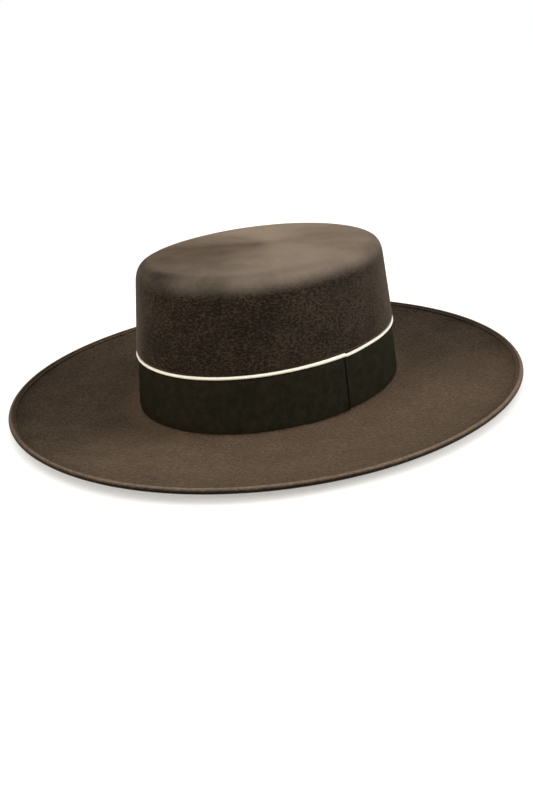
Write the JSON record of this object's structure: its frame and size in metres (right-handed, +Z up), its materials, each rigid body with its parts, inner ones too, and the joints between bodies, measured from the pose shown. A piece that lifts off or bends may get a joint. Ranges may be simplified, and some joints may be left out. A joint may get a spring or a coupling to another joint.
{
  "type": "gaucho hat",
  "caption": "Wide-brimmed felt hat with a flat tapered crown, welted brim edge, black ribbon band and white piping along its top.",
  "frame": {"origin": "centre of the brim's outline, on the underside of the brim round the head opening, which rests on the surface", "axes": "+Z up through the crown, -Y towards the front of the hat, +X towards the wearer's left"},
  "size_m": [0.3572, 0.3828, 0.1059],
  "materials": {
    "felt": "brushed stiff wool felt, dark brown",
    "ribbon": "ribbed grosgrain, black, low sheen",
    "piping": "bias-cut cotton piping, off-white"
  },
  "bodies": {
    "root": {"felt_body": "felt", "ribbon_band": "ribbon", "white_piping": "piping"}
  },
  "joints": []
}
